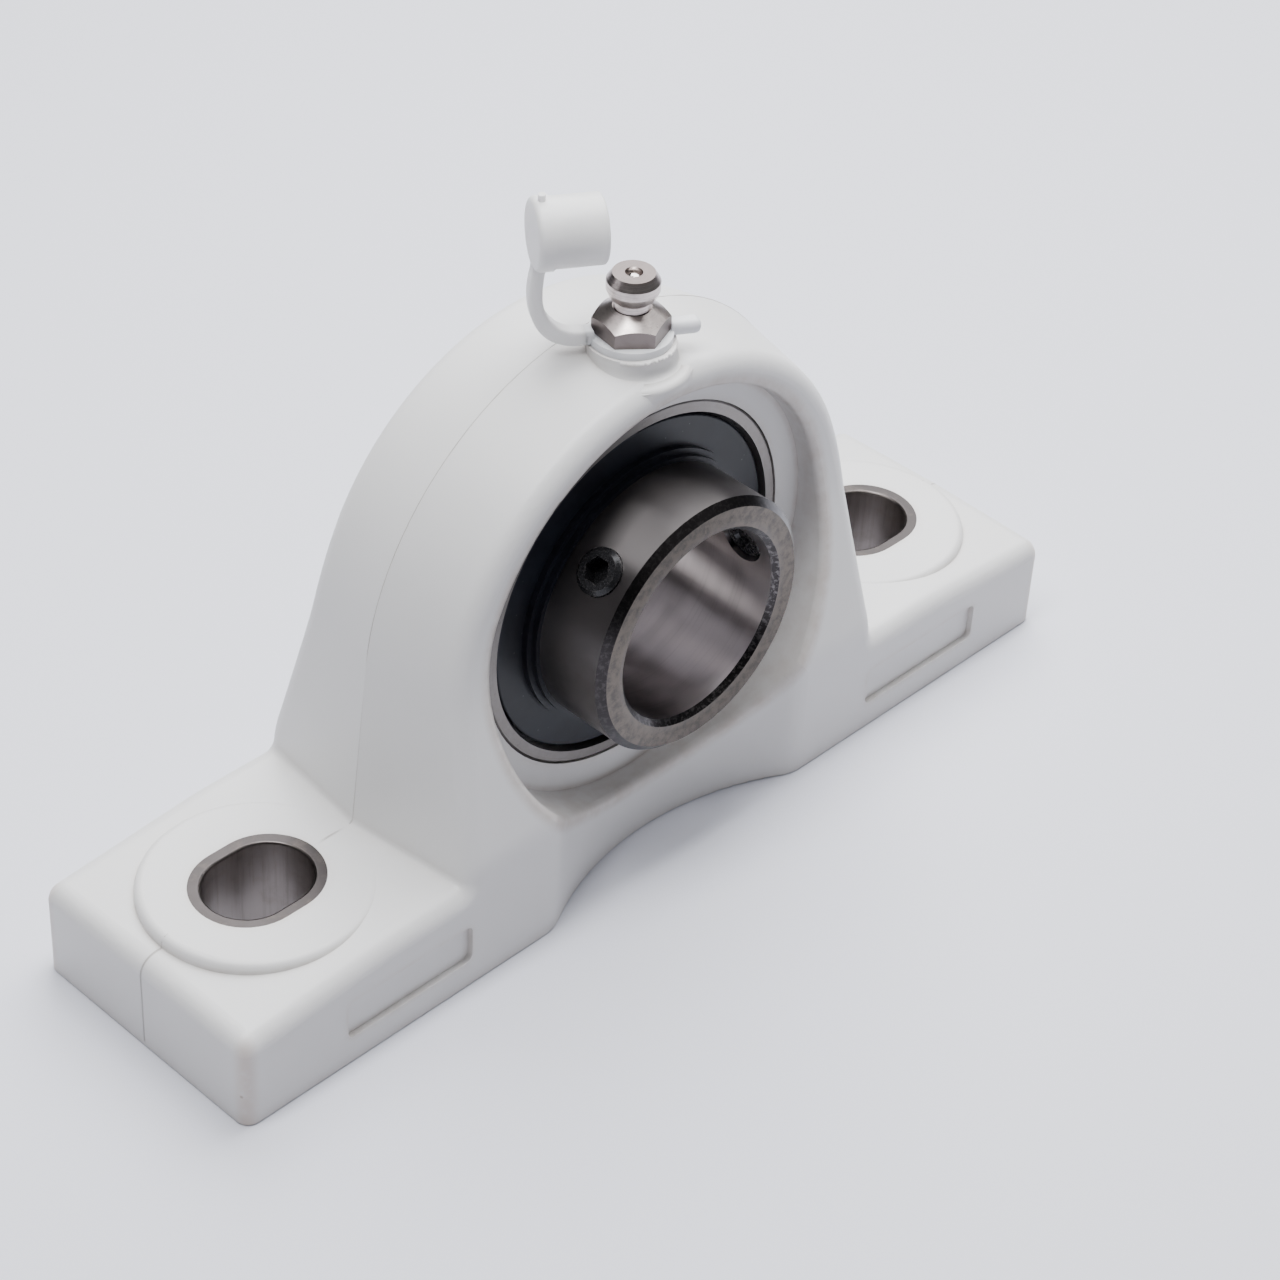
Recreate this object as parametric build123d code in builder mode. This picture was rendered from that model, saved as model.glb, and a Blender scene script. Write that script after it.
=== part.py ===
from build123d import *
import os
from math import acos, atan2, cos, hypot, radians, sin, sqrt

os.makedirs("parts", exist_ok=True)

# ---- housing, outside ----
AXIS_H = 36.5                 # shaft axis above the floor
BASE_L = 140.0
BASE_W = 36.4
BASE_TOP = 15.4               # level part of the base top, on the parting line
BASE_KNEE = 47.0              # where the base top starts to fall, from the middle
BASE_END = 13.5               # base top at the end face, on the parting line
BASE_FALL = 0.4               # draft of the base top from parting line to side
KNEE_SOFT = 60.0
BASE_CORNER = 1.8             # vertical corner radius
TOP_EDGE = 2.4                # rounding along the base top and the dome, one run
SOLE_EDGE = 0.3
FOOT_SOFT = 0.8               # concave rounding where the dome meets the base
DOME_R = 35.75
CROWN_DROP = 1.9              # centre of the crown arc, below the shaft axis
DOME_FOOT = 37.8              # half width of the dome where it meets the base
DOME_R_SIDE = 32.3            # the same two sizes on the outer faces, after draft
DOME_FOOT_SIDE = 35.5
RING_HALF = 12.3              # half thickness of the ring part
LEAN_RISE = 4.9               # the face leans out from here above the shaft axis
LEAN_FOOT = 17.5              # down to this height
LEAN_TOP_R = 50.0
LEAN_FOOT_R = 12.0
WAIST_R = 42.0                # concave waist seen from above
WAIST_HALF = 12.4             # half width at the narrowest place
WAIST_H = 30.0
WAIST_L = 76.0
WAIST_SOFT = 6.0
POCKET_DEPTH = 0.8
POCKET_CORNER = 1.0
POCKET_LEFT = (-54.6, -35.1, 4.0, 9.6)
POCKET_RIGHT = (35.0, 56.3, 4.0, 9.6)

# ---- housing, bolt slots and sleeves ----
BOLT_INSET = 17.5             # slot centre from the end face
SLOT_HALF_W = 5.5
SLOT_HALF_L = 7.0
SLEEVE_WALL = 1.5
SLEEVE_FIT = 0.02
SLEEVE_LIP = 0.35
PAD_R = 14.3
PAD_TOP = 15.3
PAD_EDGE = 1.0

# ---- housing, recess and seat ----
RECESS_R = 28.0
RECESS_EDGE = 0.9
LEDGE_Y = 8.6
LEDGE_CONE = 0.6
SEAT_R = 26.0
SEAT_FIT = 0.03

# ---- bearing insert ----
BORE_R = 12.7
INNER_R = 17.0
INNER_FRONT = 19.7
INNER_REAR = 14.3
INNER_CHAMFER = 0.95
BORE_CHAMFER = 0.7
OUTER_HALF = 8.5
OUTER_EDGE = 0.35
INNER_LAND = 2.5              # from the inner ring's land to the balls' pitch circle
OUTER_LAND = 2.4              # and from there to the outer ring's land
COUNTERBORE_STEP = 1.0
SEAL_SLOT_STEP = 1.3
SEAL_IN = 5.25
SEAL_OUT = 6.45
SEAL_FIT = 0.03
SEAL_LIP = 0.3                # seal lip above the inner ring
SEAL_BEVEL = 1.0
BALL_R = 3.969
BALL_COUNT = 9
BALL_FIT = 0.03
RACE_R = 4.1
LUBE_Y = 4.6
LUBE_HALF = 1.1
LUBE_DEPTH = 0.7
LUBE_HOLE_R = 0.7
LUBE_HOLE_Y = 4.3
SLINGER_GAP = 0.5
SLINGER_IN = 7.1
SLINGER_FACE = 7.95
HUB_LOW_WALL = 1.3            # hub of the slinger, its two steps above the inner ring
HUB_LOW = 8.8
HUB_WALL = 0.6
HUB_TOP = 9.6
PRESS_FIT = 0.01
SLINGER_EDGE = 0.3

# ---- cage ----
CAGE_HALF_W = 1.3
CAGE_T = 0.6
CAGE_FIT = 0.15
RIVET_R = 0.5
RIVET_HEAD_R = 0.95
RIVET_HEAD_T = 0.4

# ---- set screws ----
SCREW_Y = 14.3
SCREW_R = 3.0
SCREW_FIT = 0.05
SCREW_LEN = 4.4
SCREW_ANGLES = (137.0, 17.0)
SCREW_STANDS = (0.75, 0.3)    # height of each head above the inner ring
SOCKET_FLAT = 3.0
SOCKET_DEPTH = 2.2
SCREW_EDGE = 0.5
CUP_R = 1.4
CUP_DEPTH = 0.5
CUP_TAPER = 30

# ---- grease nipple, heights above the boss ----
NIPPLE_Y = -5.5
BOSS_R = 5.3
BOSS_RISE = 0.15              # boss above the crown
BOSS_DEPTH = 4.0
BOSS_WALL = 2.2               # height of the wall at the front, with the blend at its foot
BOSS_BLEND = 1.4
SKIRT_R = 7.4
SKIRT_DROP = 0.8
DRILL_R = 1.5
SHANK_R = 3.0
SHANK_LEN = 5.0
SHANK_FIT = 0.02
HEX_CORNER = 4.62
HEX_TURN = -39.2
HEX_CLEAR = 0.05
HEX_H = 3.28
HEX_CONE = 0.65               # rise of the cone over the hexagon per mm
NECK_R = 2.15
NECK_BASE_R = 2.3
NECK_H = 0.9
HEAD_R = 3.15
HEAD_FOOT_R = 2.75
HEAD_FOOT = 5.75
HEAD_LOW = 6.7
HEAD_HIGH = 7.8
HEAD_TOP = 8.8
HEAD_TOP_R = 2.5
MOUTH_R = 1.05
MOUTH_DEPTH = 0.8
CHAMBER_R = 1.3
CHAMBER_DEPTH = 0.5           # spring chamber, below the boss
CHAMBER_CONE = 0.3
PASSAGE_R = 0.8
CHECK_R = 1.2
CHECK_GAP = 0.05
SPRING_R = 0.85
SPRING_WIRE = 0.16
SPRING_TURNS = 6
SPRING_GAP = 0.05

# ---- tethered cap, heights above the boss ----
CAP_TURN = -31.0              # direction of the tether's plane, seen from above
RING_T = 1.0
RING_IN_R = 3.05
RING_OUT_R = 4.95
TAB_W = 2.2
TAB_T = 1.9
TAB_EDGE = 0.8
TAB_END = 8.2
STRAP_GAP = 0.05
CAP_RISE = 15.0               # axis of the cap
CAP_BACK = -12.0
CAP_LEN = 8.1
CAP_DISC_T = 2.0
CAP_DISC_R = 4.3
CAP_DISC_EDGE = 0.7
CAP_R = 4.1
CAP_IN_R = 3.3
CAP_LIP = 0.35
CAP_FLOOR = 0.3
GATE_R = 0.45
GATE_LEN = 0.8
STRAP_W = 2.2
STRAP_EDGE = 0.55
STRAP_OUTER = [(-5.6, 0.02), (-7.8, 0.2), (-10.4, 1.7), (-11.9, 4.4), (-12.3, 7.0), (-11.9, 10.65)]
STRAP_INNER = [(-10.4, 10.65), (-10.65, 7.0), (-10.3, 5.1), (-9.1, 3.2), (-7.2, 2.05), (-5.6, 1.92)]

DOME_H = AXIS_H - CROWN_DROP
LEAN_TOP = AXIS_H + LEAN_RISE
BOSS_TOP = DOME_H + DOME_R + BOSS_RISE
HALF_W = BASE_W / 2
HALF_L = BASE_L / 2
BOLT_X = HALF_L - BOLT_INSET
WAIST_DEPTH = HALF_W - WAIST_HALF
SLEEVE_HALF_W = SLOT_HALF_W + SLEEVE_WALL
SLEEVE_HALF_L = SLOT_HALF_L + SLEEVE_WALL
PITCH_R = INNER_R + INNER_LAND
LAND_R = PITCH_R + OUTER_LAND
COUNTERBORE_R = LAND_R + COUNTERBORE_STEP
SEAL_SLOT_R = LAND_R + SEAL_SLOT_STEP
SLINGER_R = COUNTERBORE_R - SLINGER_GAP
SEAT_MOUTH = sqrt((SEAT_R + SEAT_FIT) ** 2 - LEDGE_Y**2)
SHANK_END = BOSS_TOP - SHANK_LEN
HEX_BOTTOM = BOSS_TOP + RING_T + SHANK_FIT
NECK_BOTTOM = HEX_BOTTOM + HEX_H
NIPPLE_TOP = BOSS_TOP + HEAD_TOP
CHAMBER_END = BOSS_TOP - CHAMBER_DEPTH
CHECK_Z = NIPPLE_TOP - MOUTH_DEPTH - sqrt(CHECK_R**2 - MOUTH_R**2) - CHECK_GAP
SPRING_LEN = CHECK_Z - CHECK_R - CHAMBER_END - 2 * SPRING_GAP - 2 * SPRING_WIRE
CAP_Z = BOSS_TOP + CAP_RISE
TETHER_DIR = (cos(radians(CAP_TURN)), sin(radians(CAP_TURN)), 0)
AXIS_PLANE = Plane(origin=(0, 0, AXIS_H), x_dir=(1, 0, 0), z_dir=(0, 0, 1))
SHAFT = Axis((0, 0, AXIS_H), (0, 1, 0))
NIPPLE_PLANE = Plane(origin=(0, NIPPLE_Y, 0), x_dir=(1, 0, 0), z_dir=(0, -1, 0))
NIPPLE_AXIS = Axis((0, NIPPLE_Y, 0), (0, 0, 1))
TETHER_PLANE = Plane(
    origin=(0, NIPPLE_Y, BOSS_TOP),
    x_dir=TETHER_DIR,
    z_dir=(TETHER_DIR[1], -TETHER_DIR[0], 0),
)
TAB_PLANE = Plane(
    origin=(0, NIPPLE_Y, BOSS_TOP),
    x_dir=(-TETHER_DIR[1], TETHER_DIR[0], 0),
    z_dir=TETHER_DIR,
)
CAP_AXIS = Axis((0, NIPPLE_Y, CAP_Z), TETHER_DIR)
CLEAR = BASE_L                # reach of cuts that pass right through


def outline(foot, radius, fall):
    """Closed outline of base and dome: flanks tangent to the crown arc, and a rounded foot."""
    low = BASE_TOP - fall
    drop = low - DOME_H
    angle = atan2(drop, foot) + acos(radius / hypot(drop, foot))
    tx = radius * cos(angle)
    tz = radius * sin(angle) + DOME_H
    middle = (angle + radians(90)) / 2
    crown = (radius * cos(middle), radius * sin(middle) + DOME_H)
    with BuildLine() as right:
        bottom = Line((0, 0), (HALF_L, 0))
        end = Line(bottom @ 1, (HALF_L, BASE_END - fall))
        slope = Line(end @ 1, (BASE_KNEE, low))
        level = Line(slope @ 1, (foot, low))
        Line(level @ 1, (tx, tz))
        fillet(right.vertices().sort_by_distance((BASE_KNEE, low))[0], KNEE_SOFT)
        fillet(right.vertices().sort_by_distance((foot, low))[0], FOOT_SOFT)
        ThreePointArc((tx, tz), crown, (0, DOME_H + radius))
        mirror(about=Plane.YZ)
    return right.edges()


def turned(points):
    """Closed section of a part turned about an axis."""
    with BuildLine() as section:
        Polyline(*points, close=True)
    return section.edges()


def upright(part):
    """Turn a piece built about Z onto the shaft axis, its top to the front."""
    return part.rotate(Axis.X, 90).moved(Location((0, 0, AXIS_H)))


def export(part, name):
    """Write one piece as a STEP file of its own."""
    part.label = name
    export_step(part, "parts/" + name + ".step")


def screw_plane(angle, distance):
    """Plane across a set screw, facing outward from the shaft axis."""
    outward = Vector(cos(radians(angle)), 0, sin(radians(angle)))
    return Plane(
        origin=Vector(0, -SCREW_Y, AXIS_H) + outward * distance,
        x_dir=(0, 1, 0),
        z_dir=outward,
    )


def is_slot_wall(face, sign):
    """True for the upright faces inside a sleeve."""
    point = face.center()
    near_x = abs(point.X - sign * BOLT_X) < SLOT_HALF_L + SLEEVE_WALL / 2
    near_y = abs(point.Y) < SLOT_HALF_W + SLEEVE_WALL / 2
    return near_x and near_y and abs(face.normal_at(point).Z) < 0.1


def is_top_rim(edge):
    """True for the upper edges of the front, rear and end faces, from end to end."""
    point = edge @ 0.5
    at_end = abs(point.X) > HALF_L - 1
    at_side = abs(point.Y) > RING_HALF - 1 and abs((edge % 0.5).Y) < 0.9
    beyond = hypot(point.X, max(point.Z - DOME_H, 0)) > RECESS_R
    return (at_end or at_side) and beyond and point.Z > BASE_END - 1


def is_recess_rim(edge):
    """True for the edges where a recess breaks out of a front or rear face."""
    point = edge @ 0.37
    radius = hypot(point.X, point.Z - AXIS_H)
    across = abs((edge % 0.37).Y) < 0.99
    return across and abs(radius - RECESS_R) < 0.01 and abs(point.Y) > LEDGE_Y + 1.5 * LEDGE_CONE


def obround(half_l, half_w):
    """Slot outline with its long axis along the base."""
    SlotCenterToCenter(2 * (half_l - half_w), 2 * half_w)


# ---- housing ----
with BuildPart() as pads:
    with Locations((-BOLT_X, 0), (BOLT_X, 0)):
        Cylinder(PAD_R, PAD_TOP, align=(Align.CENTER, Align.CENTER, Align.MIN))
    fillet(pads.edges().filter_by(GeomType.CIRCLE).group_by(Axis.Z)[-1], PAD_EDGE)

with BuildPart() as housing:
    for side in (HALF_W, -HALF_W):
        with BuildSketch(Plane.XZ):
            make_face(outline(DOME_FOOT, DOME_R, 0))
        with BuildSketch(Plane.XZ.offset(side)):
            make_face(outline(DOME_FOOT_SIDE, DOME_R_SIDE, BASE_FALL))
        loft(ruled=True)
    # faces of the dome, vertical at the seat and leaning out to the base
    with BuildSketch(Plane.YZ) as flank:
        with BuildLine():
            Polyline(
                (-HALF_W, -CLEAR),
                (-HALF_W, LEAN_FOOT),
                (-RING_HALF, LEAN_TOP),
                (-RING_HALF, CLEAR),
                (RING_HALF, CLEAR),
                (RING_HALF, LEAN_TOP),
                (HALF_W, LEAN_FOOT),
                (HALF_W, -CLEAR),
                close=True,
            )
        make_face()
        fillet([v for v in flank.vertices() if abs(v.Y - LEAN_TOP) < 0.01], LEAN_TOP_R)
        fillet([v for v in flank.vertices() if abs(v.Y - LEAN_FOOT) < 0.01], LEAN_FOOT_R)
    extrude(amount=CLEAR, both=True, mode=Mode.INTERSECT)
    fillet([e for e in housing.edges() if is_top_rim(e)], TOP_EDGE)
    corners = [e for e in housing.edges().filter_by(Axis.Z) if abs(e.center().X) > HALF_L - 1]
    fillet(corners, BASE_CORNER)
    add(pads.part)
    # concave waist, front and back
    for side in (-1, 1):
        with BuildSketch(Plane.XY) as waist:
            with Locations((0, side * (HALF_W + WAIST_R - WAIST_DEPTH))):
                Circle(WAIST_R)
            with Locations((0, side * BASE_W)):
                Rectangle(WAIST_L, BASE_W)
            bends = [v for v in waist.vertices() if abs(abs(v.Y) - HALF_W) < 0.01]
            fillet([v for v in bends if abs(v.X) < WAIST_L / 2 - 1], WAIST_SOFT)
        extrude(amount=WAIST_H, mode=Mode.SUBTRACT)
    fillet(housing.edges().group_by(Axis.Z)[0], SOLE_EDGE)
    # plain pockets in the front edge of the base
    for left, right, low, high in (POCKET_LEFT, POCKET_RIGHT):
        with BuildSketch(Plane.XZ.offset(HALF_W - POCKET_DEPTH)):
            with Locations(((left + right) / 2, (low + high) / 2)):
                RectangleRounded(right - left, high - low, POCKET_CORNER)
        extrude(amount=2 * POCKET_DEPTH, mode=Mode.SUBTRACT)
    # bolt slots for the sleeves
    with BuildSketch(Plane.XY):
        with Locations((-BOLT_X, 0), (BOLT_X, 0)):
            obround(SLEEVE_HALF_L + SLEEVE_FIT, SLEEVE_HALF_W + SLEEVE_FIT)
    extrude(amount=CLEAR, mode=Mode.SUBTRACT)
    # boss under the nipple
    with BuildSketch(NIPPLE_PLANE) as boss:
        make_face(
            turned(
                [
                    (0, BOSS_TOP),
                    (BOSS_R, BOSS_TOP),
                    (BOSS_R, BOSS_TOP - BOSS_WALL),
                    (SKIRT_R, BOSS_TOP - BOSS_WALL - SKIRT_DROP),
                    (SKIRT_R, BOSS_TOP - BOSS_DEPTH),
                    (0, BOSS_TOP - BOSS_DEPTH),
                ]
            )
        )
        fillet(boss.vertices().sort_by_distance((BOSS_R, BOSS_TOP - BOSS_WALL))[0], BOSS_BLEND)
    revolve(axis=NIPPLE_AXIS)
    # recess on each side of the seat
    for side in (-1, 1):
        with BuildSketch(AXIS_PLANE):
            make_face(
                turned(
                    [
                        (0, side * (LEDGE_Y - LEDGE_CONE)),
                        (0, side * CLEAR),
                        (RECESS_R, side * CLEAR),
                        (RECESS_R, side * (LEDGE_Y + LEDGE_CONE)),
                        (SEAT_MOUTH, side * LEDGE_Y),
                        (SEAT_MOUTH, side * (LEDGE_Y - LEDGE_CONE)),
                    ]
                )
            )
        revolve(axis=SHAFT, mode=Mode.SUBTRACT)
    fillet([e for e in housing.edges() if is_recess_rim(e)], RECESS_EDGE)
    # spherical seat, thread hole and grease drilling
    with BuildSketch(AXIS_PLANE):
        Circle(SEAT_R + SEAT_FIT)
        with Locations((-SEAT_R, 0)):
            Rectangle(2 * SEAT_R, 4 * SEAT_R, mode=Mode.SUBTRACT)
        Rectangle(4 * SEAT_R, 2 * LEDGE_Y, mode=Mode.INTERSECT)
    revolve(axis=SHAFT, mode=Mode.SUBTRACT)
    with BuildSketch(Plane.XY.offset(AXIS_H)):
        with Locations((0, NIPPLE_Y)):
            Circle(DRILL_R)
    extrude(amount=CLEAR, mode=Mode.SUBTRACT)
    with BuildSketch(Plane.XY.offset(SHANK_END)):
        with Locations((0, NIPPLE_Y)):
            Circle(SHANK_R + SHANK_FIT)
    extrude(amount=CLEAR, mode=Mode.SUBTRACT)
export(housing.part, "housing")

# ---- stainless sleeves in the bolt slots ----
for sign, name in ((-1, "left_mount_sleeve"), (1, "right_mount_sleeve")):
    with BuildPart() as sleeve:
        with BuildSketch(Plane.XY):
            with Locations((sign * BOLT_X, 0)):
                obround(SLEEVE_HALF_L, SLEEVE_HALF_W)
        extrude(amount=PAD_TOP)
        with BuildSketch(Plane.XY):
            with Locations((sign * BOLT_X, 0)):
                obround(SLOT_HALF_L, SLOT_HALF_W)
        extrude(amount=CLEAR, mode=Mode.SUBTRACT)
        inside = [f for f in sleeve.faces() if is_slot_wall(f, sign)]
        lips = [e for f in inside for e in f.edges() if abs(e.center().Z - PAD_TOP) < 0.01]
        fillet(lips, SLEEVE_LIP)
    export(sleeve.part, name)

# ---- outer ring ----
with BuildPart() as outer_ring:
    with Locations((0, 0, AXIS_H)):
        Sphere(SEAT_R)
        Box(3 * SEAT_R, 2 * OUTER_HALF, 3 * SEAT_R, mode=Mode.INTERSECT)
    rims = [e for e in outer_ring.edges().filter_by(GeomType.CIRCLE) if abs(e.center().Y) > OUTER_HALF - 0.1]
    chamfer(rims, OUTER_EDGE)
    with BuildSketch(AXIS_PLANE):
        make_face(
            turned(
                [
                    (0, -2 * OUTER_HALF),
                    (COUNTERBORE_R, -2 * OUTER_HALF),
                    (COUNTERBORE_R, -SEAL_OUT),
                    (SEAL_SLOT_R, -SEAL_OUT),
                    (SEAL_SLOT_R, -SEAL_IN),
                    (LAND_R, -SEAL_IN),
                    (LAND_R, SEAL_IN),
                    (SEAL_SLOT_R, SEAL_IN),
                    (SEAL_SLOT_R, SEAL_OUT),
                    (COUNTERBORE_R, SEAL_OUT),
                    (COUNTERBORE_R, 2 * OUTER_HALF),
                    (0, 2 * OUTER_HALF),
                ]
            )
        )
    revolve(axis=SHAFT, mode=Mode.SUBTRACT)
    with BuildSketch(AXIS_PLANE):
        with Locations((PITCH_R + BALL_R + BALL_FIT - RACE_R, 0)):
            Circle(RACE_R)
    revolve(axis=SHAFT, mode=Mode.SUBTRACT)
    # lubrication groove and its hole, in line with the grease drilling
    with BuildSketch(AXIS_PLANE):
        with Locations((sqrt(SEAT_R**2 - LUBE_Y**2) - LUBE_DEPTH + SEAT_R / 2, -LUBE_Y)):
            Rectangle(SEAT_R, 2 * LUBE_HALF)
    revolve(axis=SHAFT, mode=Mode.SUBTRACT)
    with BuildSketch(Plane.XY.offset(AXIS_H)):
        with Locations((0, -LUBE_HOLE_Y)):
            Circle(LUBE_HOLE_R)
    extrude(amount=2 * SEAT_R, mode=Mode.SUBTRACT)
export(outer_ring.part, "outer_ring")

# ---- inner ring with its two set screw holes ----
with BuildPart() as inner_ring:
    with BuildSketch(AXIS_PLANE):
        make_face(
            turned(
                [
                    (BORE_R, -INNER_FRONT + BORE_CHAMFER),
                    (BORE_R + BORE_CHAMFER, -INNER_FRONT),
                    (INNER_R - INNER_CHAMFER, -INNER_FRONT),
                    (INNER_R, -INNER_FRONT + INNER_CHAMFER),
                    (INNER_R, INNER_REAR - INNER_CHAMFER),
                    (INNER_R - INNER_CHAMFER, INNER_REAR),
                    (BORE_R + BORE_CHAMFER, INNER_REAR),
                    (BORE_R, INNER_REAR - BORE_CHAMFER),
                ]
            )
        )
    revolve(axis=SHAFT)
    with BuildSketch(AXIS_PLANE):
        with Locations((PITCH_R - BALL_R - BALL_FIT + RACE_R, 0)):
            Circle(RACE_R)
    revolve(axis=SHAFT, mode=Mode.SUBTRACT)
    for angle in SCREW_ANGLES:
        with BuildSketch(screw_plane(angle, 0)):
            Circle(SCREW_R)
        extrude(amount=2 * INNER_R, mode=Mode.SUBTRACT)
export(inner_ring.part, "inner_ring")

# ---- balls ----
for index in range(BALL_COUNT):
    angle = radians(90 + 360 * index / BALL_COUNT)
    with BuildPart() as ball:
        with Locations((PITCH_R * cos(angle), 0, AXIS_H + PITCH_R * sin(angle))):
            Sphere(BALL_R)
    export(ball.part, "ball_" + str(index + 1))

# ---- riveted ribbon cage ----
with BuildPart() as cage:
    with PolarLocations(PITCH_R, BALL_COUNT, start_angle=90):
        Sphere(BALL_R + CAGE_FIT + CAGE_T)
    with BuildSketch(Plane.XY):
        Circle(PITCH_R + CAGE_HALF_W)
    extrude(amount=CAGE_T)
    with BuildSketch(Plane.XY):
        Circle(PITCH_R + CAGE_HALF_W)
        Circle(PITCH_R - CAGE_HALF_W, mode=Mode.SUBTRACT)
    extrude(amount=2 * BALL_R, mode=Mode.INTERSECT)
    with PolarLocations(PITCH_R, BALL_COUNT, start_angle=90):
        Sphere(BALL_R + CAGE_FIT, mode=Mode.SUBTRACT)
    with PolarLocations(PITCH_R, BALL_COUNT, start_angle=90 + 180 / BALL_COUNT):
        Cylinder(RIVET_R + PRESS_FIT, 4 * CAGE_T, mode=Mode.SUBTRACT)
front_half = upright(cage.part)
export(front_half, "cage_front_half")
export(front_half.mirror(Plane.XZ), "cage_rear_half")

with BuildPart() as rivets:
    with PolarLocations(PITCH_R, BALL_COUNT, start_angle=90 + 180 / BALL_COUNT):
        Cylinder(RIVET_R, 2 * CAGE_T + 2 * RIVET_HEAD_T)
        with Locations((0, 0, CAGE_T + RIVET_HEAD_T / 2), (0, 0, -CAGE_T - RIVET_HEAD_T / 2)):
            Cylinder(RIVET_HEAD_R, RIVET_HEAD_T)
    layers = rivets.edges().group_by(Axis.Z)
    fillet(layers[0] + layers[-1], RIVET_HEAD_T / 2)
export(upright(rivets.part), "cage_rivets")

# ---- seals in the outer ring, slingers on the inner ring ----
for side, end in ((-1, "front"), (1, "rear")):
    with BuildPart() as seal:
        with BuildSketch(AXIS_PLANE):
            make_face(
                turned(
                    [
                        (INNER_R + SEAL_LIP, side * (SEAL_IN + SEAL_FIT)),
                        (SEAL_SLOT_R - SEAL_FIT, side * (SEAL_IN + SEAL_FIT)),
                        (SEAL_SLOT_R - SEAL_FIT, side * (SEAL_OUT - SEAL_FIT)),
                        (INNER_R + SEAL_LIP + SEAL_BEVEL, side * (SEAL_OUT - SEAL_FIT)),
                        (INNER_R + SEAL_LIP, side * (SEAL_IN + SEAL_OUT) / 2),
                    ]
                )
            )
        revolve(axis=SHAFT)
    export(seal.part, end + "_seal")
    with BuildPart() as slinger:
        with BuildSketch(AXIS_PLANE):
            make_face(
                turned(
                    [
                        (INNER_R + PRESS_FIT, side * SLINGER_IN),
                        (SLINGER_R, side * SLINGER_IN),
                        (SLINGER_R, side * SLINGER_FACE),
                        (INNER_R + HUB_LOW_WALL, side * SLINGER_FACE),
                        (INNER_R + HUB_LOW_WALL, side * HUB_LOW),
                        (INNER_R + HUB_WALL, side * HUB_LOW),
                        (INNER_R + HUB_WALL, side * HUB_TOP),
                        (INNER_R + PRESS_FIT, side * HUB_TOP),
                    ]
                )
            )
        revolve(axis=SHAFT)
        rims = [e for e in slinger.edges().filter_by(GeomType.CIRCLE) if abs(e.radius - SLINGER_R) < 0.01]
        fillet(rims, SLINGER_EDGE)
    export(slinger.part, end + "_slinger")

# ---- set screws, socket heads outward and cup points inward ----
for index, (angle, stand) in enumerate(zip(SCREW_ANGLES, SCREW_STANDS)):
    head = INNER_R + stand
    with BuildPart() as screw:
        with BuildSketch(screw_plane(angle, head - SCREW_LEN)):
            Circle(SCREW_R - SCREW_FIT)
        extrude(amount=SCREW_LEN)
        chamfer(screw.edges().filter_by(GeomType.CIRCLE), SCREW_EDGE)
        with BuildSketch(screw_plane(angle, head)):
            RegularPolygon(SOCKET_FLAT / 2, 6, major_radius=False)
        extrude(amount=-SOCKET_DEPTH, mode=Mode.SUBTRACT)
        with BuildSketch(screw_plane(angle, head - SCREW_LEN)):
            Circle(CUP_R)
        extrude(amount=CUP_DEPTH, taper=CUP_TAPER, mode=Mode.SUBTRACT)
    export(screw.part, "set_screw_" + str(index + 1))

# ---- grease nipple with its check ball and spring ----
with BuildPart() as nipple:
    with BuildSketch(Plane.XY.offset(HEX_BOTTOM)):
        with Locations((0, NIPPLE_Y)):
            RegularPolygon(HEX_CORNER, 6, rotation=HEX_TURN)
    extrude(amount=NECK_BOTTOM - HEX_BOTTOM)
    with BuildSketch(NIPPLE_PLANE):
        make_face(
            turned(
                [
                    (0, SHANK_END),
                    (2 * HEX_CORNER, SHANK_END),
                    (2 * HEX_CORNER, NECK_BOTTOM - HEX_CONE * (2 * HEX_CORNER - NECK_BASE_R)),
                    (NECK_BASE_R, NECK_BOTTOM),
                    (0, NECK_BOTTOM),
                ]
            )
        )
    revolve(axis=NIPPLE_AXIS, mode=Mode.INTERSECT)
    with BuildSketch(NIPPLE_PLANE):
        make_face(
            turned(
                [
                    (0, SHANK_END),
                    (SHANK_R, SHANK_END),
                    (SHANK_R, HEX_BOTTOM + HEX_H / 2),
                    (NECK_R, HEX_BOTTOM + HEX_H / 2),
                    (NECK_R, NECK_BOTTOM + NECK_H),
                    (HEAD_FOOT_R, BOSS_TOP + HEAD_FOOT),
                    (HEAD_R, BOSS_TOP + HEAD_LOW),
                    (HEAD_R, BOSS_TOP + HEAD_HIGH),
                    (HEAD_TOP_R, NIPPLE_TOP),
                    (0, NIPPLE_TOP),
                ]
            )
        )
    revolve(axis=NIPPLE_AXIS)
    with BuildSketch(NIPPLE_PLANE):
        make_face(
            turned(
                [
                    (0, CLEAR),
                    (MOUTH_R, CLEAR),
                    (MOUTH_R, NIPPLE_TOP - MOUTH_DEPTH),
                    (CHAMBER_R, NIPPLE_TOP - MOUTH_DEPTH - CHAMBER_CONE),
                    (CHAMBER_R, CHAMBER_END),
                    (PASSAGE_R, CHAMBER_END - CHAMBER_R + PASSAGE_R),
                    (PASSAGE_R, 0),
                    (0, 0),
                ]
            )
        )
    revolve(axis=NIPPLE_AXIS, mode=Mode.SUBTRACT)
export(nipple.part, "grease_nipple")

with BuildPart() as check_ball:
    with Locations((0, NIPPLE_Y, CHECK_Z)):
        Sphere(CHECK_R)
export(check_ball.part, "nipple_check_ball")

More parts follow.
